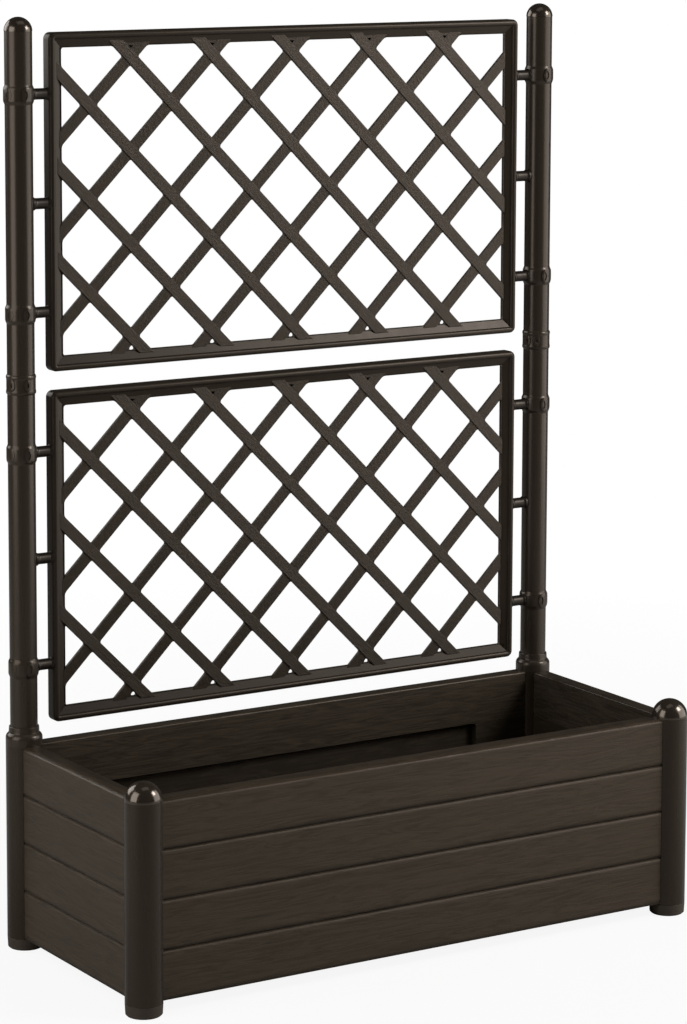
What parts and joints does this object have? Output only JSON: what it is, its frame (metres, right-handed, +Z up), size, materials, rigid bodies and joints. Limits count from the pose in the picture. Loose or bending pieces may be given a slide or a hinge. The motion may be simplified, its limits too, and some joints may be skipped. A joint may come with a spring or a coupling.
{
  "type": "outdoor planter",
  "caption": "Rectangular resin planter trough with round corner posts, plank-effect walls and a tall lattice trellis carried between two rear poles.",
  "frame": {"origin": "middle of the footprint, on the ground", "axes": "+X to the right along the long side, +Y to the back where the trellis stands, +Z up"},
  "size_m": [1, 0.43, 1.42],
  "materials": {
    "plank_resin": "dark brown moulded resin with an embossed wood grain, satin",
    "smooth_resin": "dark brown moulded resin, smooth, semi-gloss",
    "lattice_resin": "dark brown moulded resin, smooth frame and finely grained slats",
    "foot_resin": "dark brown moulded resin, frosted",
    "floor_resin": "dark brown moulded resin, fine matt"
  },
  "bodies": {
    "root": {"back_wall": "plank_resin", "base_floor": "floor_resin", "front_left_dome_cap": "smooth_resin", "front_left_foot": "foot_resin", "front_left_post": "smooth_resin", "front_right_dome_cap": "smooth_resin", "front_right_foot": "foot_resin", "front_right_post": "smooth_resin", "front_wall": "plank_resin", "left_pole_cap": "smooth_resin", "left_pole_coupler": "smooth_resin", "left_wall": "plank_resin", "lower_left_bottom_ring": "smooth_resin", "lower_left_pole": "smooth_resin", "lower_left_top_ring": "smooth_resin", "lower_right_bottom_ring": "smooth_resin", "lower_right_pole": "smooth_resin", "lower_right_top_ring": "smooth_resin", "lower_trellis": "lattice_resin", "rear_left_collar": "smooth_resin", "rear_left_foot": "foot_resin", "rear_left_post": "smooth_resin", "rear_right_collar": "smooth_resin", "rear_right_foot": "foot_resin", "rear_right_post": "smooth_resin", "right_pole_cap": "smooth_resin", "right_pole_coupler": "smooth_resin", "right_wall": "plank_resin", "upper_left_bottom_ring": "smooth_resin", "upper_left_pole": "smooth_resin", "upper_left_top_ring": "smooth_resin", "upper_right_bottom_ring": "smooth_resin", "upper_right_pole": "smooth_resin", "upper_right_top_ring": "smooth_resin", "upper_trellis": "lattice_resin"}
  },
  "joints": []
}
